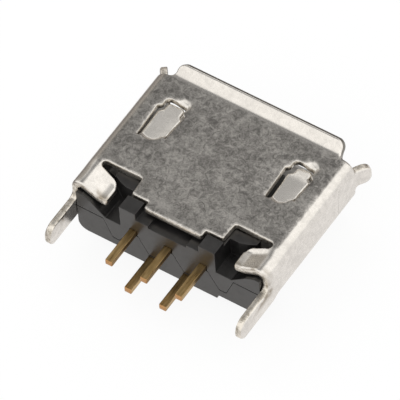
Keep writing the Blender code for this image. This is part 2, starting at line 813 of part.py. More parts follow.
def finish(obj, parts, surface, origin):
    """Its place around the origin, metres, its collection and its own material."""
    for owner in list(obj.users_collection):
        owner.objects.unlink(obj)
    parts.objects.link(obj)
    obj.data.transform(Matrix.Scale(MM, 4) @ Matrix.Translation(-origin))
    obj.data.materials.clear()
    obj.data.materials.append(surface)
    for polygon in obj.data.polygons:
        polygon.use_smooth = False
        polygon.material_index = 0


def main():
    for obj in list(bpy.data.objects):
        bpy.data.objects.remove(obj)
    parts = bpy.data.collections.new(NAME)
    bpy.context.scene.collection.children.link(parts)
    nickel = (0.62, 0.60, 0.56)
    black = (0.022, 0.022, 0.024)
    gold = (0.78, 0.56, 0.22)
    pieces = [
        (make_shell(), material("shell_nickel", nickel, 1.0, 0.38)),
        (make_housing(), material("housing_black", black, 0.0, 0.32)),
        (make_retainer(), material("retainer_black", black, 0.0, 0.32)),
    ]
    for index in range(CONTACTS):
        pieces.append((make_contact(index), material(f"contact_{index + 1}_gold", gold, 1.0, 0.25)))
    origin = bottom_centre([obj for obj, _ in pieces])
    for obj, surface in pieces:
        finish(obj, parts, surface, origin)


main()
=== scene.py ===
"""Micro USB type B socket, upright board version, lying on its lower broad face."""

import math

import bmesh
import bpy
from mathutils import Matrix, Quaternion, Vector


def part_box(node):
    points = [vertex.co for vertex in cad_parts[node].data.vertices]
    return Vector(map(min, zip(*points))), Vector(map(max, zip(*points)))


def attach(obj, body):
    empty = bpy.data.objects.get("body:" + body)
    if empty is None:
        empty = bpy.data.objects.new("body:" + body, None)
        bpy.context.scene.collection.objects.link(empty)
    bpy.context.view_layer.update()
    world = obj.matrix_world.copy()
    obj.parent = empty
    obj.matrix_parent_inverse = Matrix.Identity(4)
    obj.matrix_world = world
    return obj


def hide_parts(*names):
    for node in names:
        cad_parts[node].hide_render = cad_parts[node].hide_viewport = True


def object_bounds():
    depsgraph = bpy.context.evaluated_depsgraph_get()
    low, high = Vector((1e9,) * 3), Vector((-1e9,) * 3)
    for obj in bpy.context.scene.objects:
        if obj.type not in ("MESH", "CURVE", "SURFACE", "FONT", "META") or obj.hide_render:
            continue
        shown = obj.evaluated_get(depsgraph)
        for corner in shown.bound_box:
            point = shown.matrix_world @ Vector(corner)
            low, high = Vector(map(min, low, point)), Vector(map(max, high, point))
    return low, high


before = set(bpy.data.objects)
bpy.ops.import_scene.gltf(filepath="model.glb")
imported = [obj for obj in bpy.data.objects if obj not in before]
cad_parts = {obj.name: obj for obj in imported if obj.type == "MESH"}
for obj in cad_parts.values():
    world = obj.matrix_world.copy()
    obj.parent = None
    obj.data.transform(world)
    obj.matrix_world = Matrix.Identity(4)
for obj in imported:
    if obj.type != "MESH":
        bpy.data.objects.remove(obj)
cad_low, cad_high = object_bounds()
bpy.ops.object.select_all(action="DESELECT")


# The camera has a long lens and stands well away from the part, looking down over the tails, so
# that parallel edges stay nearly parallel. Places are drawn in millimetres from the middle of
# the flap's rear edge, which is found from the tip and the lower side of the middle tail.

MM = 0.001
TAIL_TIP_Y = -1.78
TAIL_LOW_Z = -1.16
tail_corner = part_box("contact_3")[0]
DRAWING = Matrix.Translation((0, tail_corner.y - TAIL_TIP_Y * MM, tail_corner.z - TAIL_LOW_Z * MM))
TO_FRAME = DRAWING @ Matrix.Scale(MM, 4)

CAMERA_AIM = Vector((0.289, 1.149, 0.0))
CAMERA_BACK = Vector((0.35938, -0.47965, 0.80049))
CAMERA_DISTANCE = 245.45
CAMERA_ROLL = math.radians(-4.726)
CAMERA_LENS = 706.62

camera_data = bpy.data.cameras.new("camera")
camera_data.lens = CAMERA_LENS
camera_data.sensor_width = 36
camera_data.clip_start = 0.01
camera_data.clip_end = 10
camera = bpy.data.objects.new("camera", camera_data)
bpy.context.collection.objects.link(camera)
camera.location = TO_FRAME @ (CAMERA_AIM + CAMERA_BACK * CAMERA_DISTANCE)
level = CAMERA_BACK.to_track_quat("Z", "Y")
camera.rotation_mode = "QUATERNION"
camera.rotation_quaternion = level @ Quaternion((0, 0, 1), CAMERA_ROLL)
bpy.context.scene.camera = camera


# The shell is stamped from one nickel-plated steel sheet and folded round the housing. The
# punch rounds its outer edges, the tongues and tabs are pressed in after the cut, and a
# dovetail closes the seam in the hidden lower face.

SHEET = 0.25
WIDTH = 7.40
HEIGHT = 2.35
TOP_BEND = 0.45
LOW_BEND = 0.45
CHAMFER = 0.80
PUNCH_ROUND = 0.085
BURR_ROUND = 0.03

MOUTH_Y = 4.82
WALL_REAR_Y = -0.20
LOWER_REAR_Y = 0.40
LOWER_CUT_HALF = 1.80
LOWER_CUT_Y = 0.75
CORNER_ROUND = 0.10

FLARE_Y = 4.80
FLARE_BEND = 0.30
FLARE_ANGLE = math.radians(45)
EAR_ANGLE = math.radians(35)
LIP_REACH = 0.30
EAR_REACH = 0.43
LIP_HALF = 3.10
LOWER_LIP_HALF = 1.90
EAR_TOP_Z = -0.50
EAR_LOW_Z = -1.26
LIP_ROUND = 0.30
LIP_ROOT_ROUND = 0.20
EAR_ROOT_ROUND = 0.12

FLAP_HALF = 1.08
SHOULDER_Y = 0.28
SHOULDER_ROUND = 0.05
NOTCH_IN_X = 1.71
NOTCH_LEAN = 0.04
NOTCH_IN_ROUND = 0.07
NOTCH_OUT_X = 3.16
NOTCH_OUT_ROUND = 0.11
NOTCH_Y = 0.96

TAB_BEND = 0.38
TAB_TURN = math.radians(117)
TAB_SLOPE = 0.42
TAB_BACK_BEND = 0.50
TAB_BACK_TURN = math.radians(20)
TAB_LENGTH = 1.63
TAB_FRONT_Y = 0.57
TAB_ROOT_Y = 0.75
TAB_BLEND_Y = 0.42
TAB_ROUND = 0.36
TAB_REAR_ROUND = 0.11

LEG_TOP_Z = -0.86
LEG_LOW_Z = -1.64
LEG_TIP_Y = -1.84
LEG_TOP_ROUND = 0.42
LEG_LOW_ROUND = 0.26
LEG_ROOT_ROUND = 0.20
LEG_BLEND_Y = -0.05

# The punch has left the two tongues a little different. Each has its own middle, the width of
# the slots at its inner and outer side and what they are short by at the rear, how far the
# press has lowered its root and tip, and how far outward of its middle the dish lies.
RIGHT_TONGUE = {
    "middle": 2.365, "slot_in": 0.140, "slot_out": 0.030, "short_in": 0.00, "short_out": 0.30,
    "root_drop": 0.10, "tip_drop": 0.16, "droop": 0.06, "dish_out": 0.24,
}
LEFT_TONGUE = {
    "middle": 2.430, "slot_in": 0.030, "slot_out": 0.055, "short_in": 0.28, "short_out": 0.00,
    "root_drop": 0.07, "tip_drop": 0.18, "droop": 0.00, "dish_out": -0.24,
}
WINDOW_HALF = 0.50
WINDOW_TAPER = 0.07
WINDOW_REAR_Y = 2.36
WINDOW_STEP_IN = 0.13
WINDOW_STEP_Y = 3.64
WINDOW_STEP_LENGTH = 0.08
TONGUE_TIP_IN = 0.13
TONGUE_STEP_Y = 3.54
TONGUE_STEP_LENGTH = 0.14
TONGUE_STEP_LEAD = 0.3
TONGUE_FRONT_Y = 4.00
TONGUE_CREASE_Y = 3.52
TONGUE_ROOT_SAG = 0.12
TONGUE_ROOT_REACH = 0.18
TONGUE_ROUND = 0.16
STEP_ROUND = 0.06
SLOT_ROUND_SHARE = 0.2
SLOT_FRONT = 0.04
DISH_Y = 4.00
DISH_BACK = 0.34
DISH_FLOOR = 0.05
DISH_RIM = 0.36
DISH_DEPTH = 0.08

SEAM_GAP = 0.04
DOVETAIL_Y = 2.30
DOVETAIL_LENGTH = 0.90
DOVETAIL_REACH = 0.40
DOVETAIL_FLARE = 0.14

FLAT_TOP = WIDTH / 2 - TOP_BEND
LOW_ARC = LOW_BEND * math.pi / 4
LOW_TANGENT = LOW_BEND * math.tan(math.pi / 8)
WALL_END_Z = -(HEIGHT - CHAMFER) + LOW_TANGENT
WALL_START = FLAT_TOP + TOP_BEND * math.pi / 2
SLANT = CHAMFER * math.sqrt(2) - 2 * LOW_TANGENT
FLAT_LOW = WIDTH / 2 - CHAMFER - LOW_TANGENT
SECTION = [
    (FLAT_TOP, None),
    (TOP_BEND * math.pi / 2, TOP_BEND),
    (-WALL_END_Z - TOP_BEND, None),
    (LOW_ARC, LOW_BEND),
    (SLANT, None),
    (LOW_ARC, LOW_BEND),
    (FLAT_LOW, None),
]
AROUND = sum(length for length, _ in SECTION)
SECTION[-1] = FLAT_LOW + DOVETAIL_REACH, None
LEG_SECTION = SECTION[:2] + [(AROUND, None)]
TAB_SECTION = [
    (TAB_BEND * TAB_TURN, TAB_BEND),
    (TAB_SLOPE, None),
    (TAB_BACK_BEND * TAB_BACK_TURN, -TAB_BACK_BEND),
    (AROUND, None),
]
WINDOW_FRONT_Y = TONGUE_FRONT_Y + SLOT_FRONT
TAB_TIP = WALL_START - TAB_LENGTH
LIP_END = FLARE_Y + FLARE_BEND * FLARE_ANGLE + LIP_REACH
EAR_END = FLARE_Y + FLARE_BEND * EAR_ANGLE + EAR_REACH

# Points nearer than WELD are one point, and places a HAIR apart count as the same place. A test
# of what lies in a window takes in a MARGIN round it.
WELD = 0.0001
HAIR = 0.001
MARGIN = 0.01

# Places past the sheet's four edges, and how many strips the bend lines make of each bend.
INMOST, OUTMOST = -1, 99
REARMOST, FOREMOST = -9, 9
TOP_BEND_STRIPS = 15
LOW_BEND_STRIPS = 7
FLARE_STRIPS = 8
TAB_STRIPS = 16
TAB_BLEND_STRIPS = 10
LEG_STRIPS = 12
TONGUE_ROOT_STRIPS = 22
TONGUE_BLADE_STRIPS = 6
TONGUE_TIP_STRIPS = 4
TONGUE_CROSS_STRIPS = 12
DISH_CROSS_STRIPS = 26
DISH_STRIPS = 20

# The finishes that follow the plate's own in the list of surfaces.
CUT_EDGE, INSIDE = 1, 2


def wall_mark(z):
    """Distance round the sheet of a height on the side wall."""
    return WALL_START - TOP_BEND - z


def rounded(corners, step=math.radians(9)):
    """Closed outline with an arc at each corner (x, y, radius)."""
    outline = []
    for index, (x, y, radius) in enumerate(corners):
        here = Vector((x, y))
        if radius == 0:
            outline.append(here)
            continue
        back = (Vector(corners[index - 1][:2]) - here).normalized()
        ahead = (Vector(corners[(index + 1) % len(corners)][:2]) - here).normalized()
        half = back.angle(ahead) / 2
        centre = here + (back + ahead).normalized() * (radius / math.sin(half))
        start = here + back * (radius / math.tan(half)) - centre
        end = here + ahead * (radius / math.tan(half)) - centre
        turn = math.copysign(math.pi - 2 * half, start.x * end.y - start.y * end.x)
        steps = max(3, math.ceil(abs(turn) / step))
        for number in range(steps + 1):
            outline.append(centre + Matrix.Rotation(turn * number / steps, 2) @ start)
    return outline


def smooth(value):
    """Soft start and end between 0 and 1."""
    value = min(max(value, 0), 1)
    return value * value * (3 - 2 * value)


def walk(place, heading, outward, pieces, distance):
    """Point and outward normal at a distance along straights and bends."""
    side = heading.x * outward.y - heading.y * outward.x
    for length, radius in pieces:
        step = min(distance, length)
        if radius is None:
            place = place + heading * step
        else:
            turn = Matrix.Rotation(-side * step / radius, 2)
            centre = place - outward * radius
            place = centre + turn @ (place - centre)
            heading = turn @ heading
            outward = turn @ outward
        distance -= step
        if distance <= 0:
            break
    return place, outward


def section_at(around, y):
    """Point and outward normal of the folded section. Tabs and legs leave the plain section."""
    top = Vector((0, 0)), Vector((1, 0)), Vector((0, 1))
    place, outward = walk(*top, SECTION, around)
    if TAB_TIP - HAIR < around < WALL_START and y < NOTCH_Y:
        wall = Vector((WIDTH / 2, -TOP_BEND)), Vector((0, 1)), Vector((1, 0))
        other, normal = walk(*wall, TAB_SECTION, WALL_START - around)
        share = smooth((y - TAB_BLEND_Y) / (NOTCH_Y - TAB_BLEND_Y))
        place = other.lerp(place, share)
        outward = normal.lerp(outward, share).normalized()
    if around > wall_mark(WALL_END_Z) and y < LOWER_REAR_Y:
        other, normal = walk(*top, LEG_SECTION, around)
        share = smooth((y - LEG_BLEND_Y) / (LOWER_REAR_Y - LEG_BLEND_Y))
        place = other.lerp(place, share)
        outward = normal.lerp(outward, share).normalized()
    return place, outward


def window_half(y):
    """Half width of the window, which narrows towards its rear."""
    share = min((y - WINDOW_REAR_Y) / (WINDOW_STEP_Y - WINDOW_REAR_Y), 1)
    return WINDOW_HALF - WINDOW_TAPER * (1 - share)


def tongue_edges(tongue, y):
    """Inner and outer side of the tongue. It widens from the root, and narrows past its step."""
    half = window_half(y)
    past_step = (y - WINDOW_STEP_Y) / TONGUE_STEP_LENGTH + TONGUE_STEP_LEAD
    narrowed = TONGUE_TIP_IN * min(max(past_step, 0), 1)
    inner = tongue["middle"] - half + tongue["slot_in"] + narrowed
    outer = tongue["middle"] + half - tongue["slot_out"] - narrowed
    return inner, outer


def tongue_drop(tongue, around, y):
    """How far the spring tongue is pressed in. Its root bends along an arc."""
    inner, outer = tongue_edges(tongue, WINDOW_REAR_Y)
    across = min(max((around - inner) / (outer - inner), 0), 1)
    root = WINDOW_REAR_Y - TONGUE_ROOT_SAG * 4 * across * (1 - across)
    root += tongue["short_in"] * (1 - across) ** 4 + tongue["short_out"] * across ** 4
    down = tongue["root_drop"] * smooth((y - root) / TONGUE_ROOT_REACH)
    slope = (tongue["tip_drop"] - tongue["root_drop"]) / (TONGUE_FRONT_Y - root)
    down += slope * max(y - root, 0)
    return down + tongue["droop"] * max((y - TONGUE_CREASE_Y) / (TONGUE_FRONT_Y - TONGUE_CREASE_Y), 0)


def dish_drop(tongue, around, y):
    """Shallow coined dish in the plate round the front end of the window."""
    reach = math.hypot(around - tongue["middle"] - tongue["dish_out"], max(y - DISH_Y, 0))
    rim = 1 - smooth((reach - DISH_FLOOR) / (DISH_RIM - DISH_FLOOR))
    return DISH_DEPTH * rim * smooth((y - DISH_Y) / DISH_BACK + 1)


def pressed_in(tongue, around, y):
    """How far the press has lowered the wide face, on the tongue and beside it."""
    inner, outer = tongue_edges(tongue, y)
    if inner - MARGIN < around < outer + MARGIN and y < TONGUE_FRONT_Y + MARGIN:
        return tongue_drop(tongue, around, y)
    return dish_drop(tongue, around, y)


def fold(tongue, around, y, depth):
    """Where a point of the flat sheet lies on the folded shell."""
    place, outward = section_at(around, y)
    on_wall = WALL_START - HAIR < around < wall_mark(WALL_END_Z) + HAIR
    angle = EAR_ANGLE if on_wall else FLARE_ANGLE
    past = max(y - FLARE_Y, 0)
    turned = min(past / FLARE_BEND, angle)
    straight = past - turned * FLARE_BEND
    along = min(y, FLARE_Y) + FLARE_BEND * math.sin(turned) + straight * math.cos(turned)
    rise = FLARE_BEND * (1 - math.cos(turned)) + straight * math.sin(turned)
    rise += depth * math.cos(turned) - pressed_in(tongue, around, y)
    along -= depth * math.sin(turned)
    flat = place + outward * rise
    return Vector((flat.x, along, flat.y))


def seam_outline(dovetail):
    """Edge of the blank along the seam. One half carries the dovetail, the other its recess."""
    reach = DOVETAIL_REACH if dovetail else -DOVETAIL_REACH
    off = -SEAM_GAP / 2 if dovetail else SEAM_GAP / 2
    rear, front = DOVETAIL_Y - off, DOVETAIL_Y + DOVETAIL_LENGTH + off
    edge = AROUND - SEAM_GAP / 2
    return [
        (edge, LOWER_CUT_Y, CORNER_ROUND),
        (edge, rear, CORNER_ROUND),
        (edge + reach, rear - DOVETAIL_FLARE, CORNER_ROUND),
        (edge + reach, front + DOVETAIL_FLARE, CORNER_ROUND),
        (edge, front, CORNER_ROUND),
        (edge, LIP_END, CORNER_ROUND),
    ]


def blank_outline(dovetail):
    """Half of the flat sheet, from the middle of the wide face round to the seam."""
    leg_top, leg_low = wall_mark(LEG_TOP_Z), wall_mark(LEG_LOW_Z)
    ear_top, ear_low = wall_mark(EAR_TOP_Z), wall_mark(EAR_LOW_Z)
    lower_cut = AROUND - LOWER_CUT_HALF
    lower_lip = AROUND - LOWER_LIP_HALF
    return rounded([
        (0, 0, 0),
        (FLAP_HALF, 0, CORNER_ROUND),
        (FLAP_HALF, SHOULDER_Y, SHOULDER_ROUND),
        (NOTCH_IN_X, SHOULDER_Y, CORNER_ROUND),
        (NOTCH_IN_X + NOTCH_LEAN, NOTCH_Y, NOTCH_IN_ROUND),
        (NOTCH_OUT_X, NOTCH_Y, NOTCH_OUT_ROUND),
        (NOTCH_OUT_X, TAB_ROOT_Y, NOTCH_OUT_ROUND),
        (TAB_TIP, TAB_FRONT_Y, TAB_ROUND),
        (TAB_TIP, WALL_REAR_Y, TAB_REAR_ROUND),
        (leg_top, WALL_REAR_Y, LEG_ROOT_ROUND),
        (leg_top, LEG_TIP_Y, LEG_TOP_ROUND),
        (leg_low, LEG_TIP_Y, LEG_LOW_ROUND),
        (leg_low, LOWER_REAR_Y, CORNER_ROUND),
        (lower_cut, LOWER_REAR_Y, CORNER_ROUND),
        (lower_cut, LOWER_CUT_Y, CORNER_ROUND),
        *seam_outline(dovetail),
        (lower_lip, LIP_END, LIP_ROUND),
        (lower_lip, MOUTH_Y, EAR_ROOT_ROUND),
        (ear_low, MOUTH_Y, EAR_ROOT_ROUND),
        (ear_low, EAR_END, LIP_ROUND),
        (ear_top, EAR_END, LIP_ROUND),
        (ear_top, MOUTH_Y, EAR_ROOT_ROUND),
        (LIP_HALF, MOUTH_Y, LIP_ROOT_ROUND),
        (LIP_HALF, LIP_END, LIP_ROUND),
        (0, LIP_END, 0),
    ])


def window_outline(tongue):
    """Slot that frees the spring tongue on three sides."""
    middle, slot_in, slot_out = tongue["middle"], tongue["slot_in"], tongue["slot_out"]
    rear_in, rear_out = WINDOW_REAR_Y + tongue["short_in"], WINDOW_REAR_Y + tongue["short_out"]
    left, right = middle - WINDOW_HALF, middle + WINDOW_HALF
    rear_left, rear_right = middle - window_half(rear_in), middle + window_half(rear_out)
    front_left, front_right = left + WINDOW_STEP_IN, right - WINDOW_STEP_IN
    tip_in, tip_out = left + slot_in + TONGUE_TIP_IN, right - slot_out - TONGUE_TIP_IN
    tip_y = TONGUE_STEP_Y + TONGUE_STEP_LENGTH
    narrow_y = WINDOW_STEP_Y + WINDOW_STEP_LENGTH
    round_in, round_out = SLOT_ROUND_SHARE * slot_in, SLOT_ROUND_SHARE * slot_out
    return rounded([
        (rear_left, rear_in, round_in),
        (rear_left + slot_in, rear_in, round_in),
        (left + slot_in, TONGUE_STEP_Y, TONGUE_ROUND),
        (tip_in, tip_y, STEP_ROUND),
        (tip_in, TONGUE_FRONT_Y, TONGUE_ROUND),
        (tip_out, TONGUE_FRONT_Y, TONGUE_ROUND),
        (tip_out, tip_y, STEP_ROUND),
        (right - slot_out, TONGUE_STEP_Y, TONGUE_ROUND),
        (rear_right - slot_out, rear_out, round_out),
        (rear_right, rear_out, round_out),
        (right, WINDOW_STEP_Y, STEP_ROUND),
        (front_right, narrow_y, TONGUE_ROUND),
        (front_right, WINDOW_FRONT_Y, TONGUE_ROUND),
        (front_left, WINDOW_FRONT_Y, TONGUE_ROUND),
        (front_left, narrow_y, TONGUE_ROUND),
        (left, WINDOW_STEP_Y, STEP_ROUND),
    ])


def flat_sheet(name, outlines):
    """Sheet metal cut to the outlines, with its outer face up at no height."""
    curve = bpy.data.curves.new(name, "CURVE")
    curve.dimensions = "2D"
    curve.fill_mode = "BOTH"
    curve.extrude = SHEET / 2
    for outline in outlines:
        spline = curve.splines.new("POLY")
        spline.points.add(len(outline) - 1)
        for point, place in zip(spline.points, outline):
            point.co = (place[0], place[1], 0, 1)
        spline.use_cyclic_u = True
    sheet = bpy.data.objects.new(name, curve)
    bpy.context.collection.objects.link(sheet)
    sheet.location.z = -SHEET / 2
    bpy.context.view_layer.objects.active = sheet
    sheet.select_set(True)
    bpy.ops.object.convert(target="MESH")
    bpy.ops.object.transform_apply()
    bpy.ops.object.mode_set(mode="EDIT")
    bpy.ops.mesh.select_all(action="SELECT")
    bpy.ops.mesh.remove_doubles(threshold=WELD)
    bpy.ops.mesh.dissolve_limited(angle_limit=math.radians(0.1))
    bpy.ops.mesh.normals_make_consistent(inside=False)
    bpy.ops.object.mode_set(mode="OBJECT")
    return sheet


def choose_faces(sheet, test):
    """Select, in edit mode, the faces whose middles pass the test."""
    mesh = bmesh.from_edit_mesh(sheet.data)
    for face in mesh.faces:
        face.select_set(test(face.calc_center_bounds()))
    mesh.select_flush_mode()
    bmesh.update_edit_mesh(sheet.data)


def choose_edges(sheet, test):
    """Select, in edit mode, only the sharp edges whose ends pass the test."""
    bpy.ops.mesh.select_all(action="DESELECT")
    mesh = bmesh.from_edit_mesh(sheet.data)
    for edge in mesh.edges:
        sharp = len(edge.link_faces) == 2 and edge.calc_face_angle() > math.radians(60)
        edge.select_set(sharp and all(test(vertex.co) for vertex in edge.verts))
    bmesh.update_edit_mesh(sheet.data)


def in_window(tongue, place):
    """Whether a place lies in the window of this tongue, or on its edge."""
    across = abs(place.x - tongue["middle"]) < WINDOW_HALF + MARGIN
    return across and WINDOW_REAR_Y - MARGIN < place.y < WINDOW_FRONT_Y + MARGIN


def round_off(radius, segments):
    """Round the chosen edges of the sheet."""
    bpy.ops.mesh.bevel(
        offset=radius, segments=segments, affect="EDGES", clamp_overlap=False, loop_slide=False
    )


def spaced(start, end, count):
    """Evenly spaced places from start to end, with both."""
    return [start + (end - start) * step / count for step in range(count + 1)]


def score(sheet, axis, places, around=(INMOST, OUTMOST), along=(REARMOST, FOREMOST)):
    """Bend lines across the faces of one stretch of the sheet."""
    normal = Vector((0, 0, 0))
    normal[axis] = 1
    for place in places:
        bpy.ops.mesh.select_all(action="DESELECT")
        choose_faces(
            sheet,
            lambda middle: around[0] <= middle.x <= around[1] and along[0] <= middle.y <= along[1],
        )
        bpy.ops.mesh.bisect(plane_co=normal * place, plane_no=normal, threshold=WELD)


def score_bends(half, tongue):
    """Bend lines for the section, the curled tab, the leg, the mouth, the tongue and its dish."""
    low_start = wall_mark(WALL_END_Z)
    low_end = low_start + LOW_ARC
    bottom_start = low_end + SLANT
    flare_end = FLARE_Y + FLARE_BEND * FLARE_ANGLE
    ear_flare_end = FLARE_Y + FLARE_BEND * EAR_ANGLE
    middle = tongue["middle"]
    window = middle - WINDOW_HALF - MARGIN, middle + WINDOW_HALF + MARGIN
    root = WINDOW_REAR_Y - TONGUE_ROOT_SAG
    flank = WINDOW_REAR_Y + TONGUE_ROOT_REACH + max(tongue["short_in"], tongue["short_out"])
    tongue_y = root, TONGUE_FRONT_Y
    dish = middle + tongue["dish_out"] - DISH_RIM, middle + tongue["dish_out"] + DISH_RIM
    dish_y = DISH_Y - DISH_BACK, DISH_Y + DISH_RIM
    tab = TAB_TIP, WALL_START
    tab_y = REARMOST, NOTCH_Y
    leg_y = REARMOST, LOWER_REAR_Y
    lip_y = FLARE_Y, FOREMOST
    lip_bends = spaced(FLARE_Y, flare_end, FLARE_STRIPS)[1:]
    ear_bends = spaced(FLARE_Y, ear_flare_end, FLARE_STRIPS)[1:]
    tip_bends = spaced(TONGUE_CREASE_Y, TONGUE_FRONT_Y, TONGUE_TIP_STRIPS)[1:-1]

    score(half, 0, [FLAT_TOP, WALL_START, low_start, low_end, bottom_start, AROUND - FLAT_LOW])
    score(half, 0, [*window, *dish])
    score(half, 1, [NOTCH_Y, LOWER_REAR_Y, FLARE_Y, root, *dish_y])
    score(half, 0, spaced(FLAT_TOP, WALL_START, TOP_BEND_STRIPS)[1:-1], (FLAT_TOP, WALL_START))
    score(half, 0, spaced(TAB_TIP, FLAT_TOP, TAB_STRIPS)[1:-1], tab, tab_y)
    score(half, 1, spaced(TAB_BLEND_Y, NOTCH_Y, TAB_BLEND_STRIPS)[:-1], tab, tab_y)
    for start in (low_start, bottom_start):
        end = start + LOW_ARC
        score(half, 0, spaced(start, end, LOW_BEND_STRIPS)[1:-1], (start, end))
    score(half, 1, spaced(LEG_BLEND_Y, LOWER_REAR_Y, LEG_STRIPS)[:-1], (low_start, AROUND), leg_y)
    score(half, 1, lip_bends, (INMOST, WALL_START), lip_y)
    score(half, 1, lip_bends, (low_end, AROUND), lip_y)
    score(half, 1, ear_bends, (WALL_START, low_start), lip_y)
    score(half, 1, spaced(root, flank, TONGUE_ROOT_STRIPS)[1:], window, tongue_y)
    score(half, 1, spaced(flank, TONGUE_CREASE_Y, TONGUE_BLADE_STRIPS)[1:], window, tongue_y)
    score(half, 1, tip_bends, window, tongue_y)
    score(half, 0, spaced(*window, TONGUE_CROSS_STRIPS)[1:-1], window, tongue_y)
    score(half, 0, spaced(*dish, DISH_CROSS_STRIPS)[1:-1], dish, dish_y)
    score(half, 1, spaced(*dish_y, DISH_STRIPS)[1:-1], dish, dish_y)


def fold_half(name, tongue, dovetail, surfaces):
    """The sheet from the middle of the wide face round to the seam, cut, scored and folded."""
    half = flat_sheet(name, [blank_outline(dovetail), window_outline(tongue)])
    bpy.ops.object.mode_set(mode="EDIT")
    bpy.ops.mesh.select_mode(type="FACE")
    choose_faces(half, lambda middle: middle.x < HAIR)
    bpy.ops.mesh.delete(type="ONLY_FACE")
    bpy.ops.mesh.select_mode(type="EDGE")
    for near in (True, False):
        choose_edges(half, lambda place: place.z > -HAIR and in_window(tongue, place) == near)
        round_off(PUNCH_ROUND, 3)
    choose_edges(half, lambda place: place.z < HAIR - SHEET)
    round_off(BURR_ROUND, 2)
    bpy.ops.mesh.select_mode(type="FACE")
    bpy.ops.mesh.select_all(action="SELECT")
    bpy.ops.mesh.quads_convert_to_tris(quad_method="BEAUTY", ngon_method="CLIP")
    score_bends(half, tongue)
    bpy.ops.mesh.select_all(action="SELECT")
    bpy.ops.mesh.quads_convert_to_tris(quad_method="BEAUTY", ngon_method="BEAUTY")
    bpy.ops.object.mode_set(mode="OBJECT")
    for surface in surfaces:
        half.data.materials.append(surface)
    for polygon in half.data.polygons:
        if abs(polygon.normal.z) < 0.5:
            polygon.material_index = CUT_EDGE
        elif polygon.normal.z < 0 and polygon.center.y > LOWER_REAR_Y:
            polygon.material_index = INSIDE
    for vertex in half.data.vertices:
        vertex.co = fold(tongue, *vertex.co)
    half.select_set(False)
    return half


def make_shell(surfaces):
    """Right and left half, welded along the middle of the wide face."""
    shell = fold_half("shell_sheet", RIGHT_TONGUE, False, surfaces)
    other = fold_half("left_half", LEFT_TONGUE, True, surfaces)
    other.data.transform(Matrix.Diagonal((-1, 1, 1, 1)))
    other.data.flip_normals()
    bpy.context.view_layer.objects.active = shell
    shell.select_set(True)
    other.select_set(True)
    bpy.ops.object.join()
    bpy.ops.object.mode_set(mode="EDIT")
    bpy.ops.mesh.select_all(action="SELECT")
    bpy.ops.mesh.remove_doubles(threshold=5 * WELD)
    bpy.ops.mesh.normals_make_consistent(inside=False)
    bpy.ops.object.mode_set(mode="OBJECT")
    shell.data.transform(TO_FRAME)
    bpy.ops.object.shade_smooth_by_angle(angle=math.radians(32))
    weighted = shell.modifiers.new("flat faces stay flat", "WEIGHTED_NORMAL")
    weighted.keep_sharp = True
    bpy.ops.object.modifier_apply(modifier=weighted.name)
    shell.select_set(False)
    return shell


def warm(value):
    """Slightly yellow grey of nickel."""
    return (value, value * 0.97, value * 0.93, 1)


def grey(value):
    """Plain grey, for how rough a surface is."""
    return (value, value, value, 1)


def new_material(name):
    """Material with its nodes and shader, and the part's own coordinates in millimetres."""
    made = bpy.data.materials.new(name)
    made.use_nodes = True
    tree = made.node_tree
    shader = tree.nodes["Principled BSDF"]
    coordinates = tree.nodes.new("ShaderNodeTexCoord")
    mapping = tree.nodes.new("ShaderNodeMapping")
    mapping.inputs["Scale"].default_value = (1 / MM,) * 3
    tree.links.new(coordinates.outputs["Object"], mapping.inputs["Vector"])
    return made, tree, shader, mapping.outputs["Vector"]


def axes(tree, place):
    """The x, y and z of a place."""
    node = tree.nodes.new("ShaderNodeSeparateXYZ")
    tree.links.new(place, node.inputs["Vector"])
    return [node.outputs[axis] for axis in "XYZ"]


def noise(tree, place, scale, detail, roughness, distortion=0.0):
    """Cloudy pattern of a scale per millimetre."""
    node = tree.nodes.new("ShaderNodeTexNoise")
    node.inputs["Scale"].default_value = scale
    node.inputs["Detail"].default_value = detail
    node.inputs["Roughness"].default_value = roughness
    node.inputs["Distortion"].default_value = distortion
    tree.links.new(place, node.inputs["Vector"])
    return node.outputs["Fac"]


def ramp(tree, value, stops):
    """Colour ramp from (position, colour) stops."""
    node = tree.nodes.new("ShaderNodeValToRGB")
    elements = node.color_ramp.elements
    while len(elements) < len(stops):
        elements.new(0.5)
    for element, (position, colour) in zip(elements, stops):
        element.position = position
        element.color = colour
    tree.links.new(value, node.inputs["Fac"])
    return node.outputs["Color"]


def fill(tree, socket, value):
    """Give a socket a number, a colour or what another node puts out."""
    if isinstance(value, (int, float, tuple)):
        socket.default_value = value
    else:
        tree.links.new(value, socket)


def reckon(tree, operation, *values):
    """Sum, product or the like of numbers and of what other nodes put out."""
    node = tree.nodes.new("ShaderNodeMath")
    node.operation = operation
    for socket, value in zip(node.inputs, values):
        fill(tree, socket, value)
    return node.outputs[0]


def between(tree, value, low, high):
    """0 at low, 1 at high, smooth between."""
    node = tree.nodes.new("ShaderNodeMapRange")
    node.interpolation_type = "SMOOTHSTEP"
    node.inputs["From Min"].default_value = low
    node.inputs["From Max"].default_value = high
    tree.links.new(value, node.inputs["Value"])
    return node.outputs["Result"]


def mix_colour(tree, share, first, second):
    """The first colour where the share is 0, and the second where it is 1."""
    node = tree.nodes.new("ShaderNodeMix")
    node.data_type = "RGBA"
    fill(tree, node.inputs["Factor"], share)
    fill(tree, node.inputs[6], first)
    fill(tree, node.inputs[7], second)
    return node.outputs[2]


def bump(tree, shader, height, distance, strength):
    """Relief of a height in millimetres."""
    node = tree.nodes.new("ShaderNodeBump")
    node.inputs["Strength"].default_value = strength
    node.inputs["Distance"].default_value = distance * MM
    tree.links.new(height, node.inputs["Height"])
    tree.links.new(node.outputs["Normal"], shader.inputs["Normal"])
    return node


PLATE_LEVEL = DRAWING.translation.z / MM
FRONT_LEVEL = DRAWING.translation.y / MM + FLARE_Y
REAR_LEVEL = DRAWING.translation.y / MM


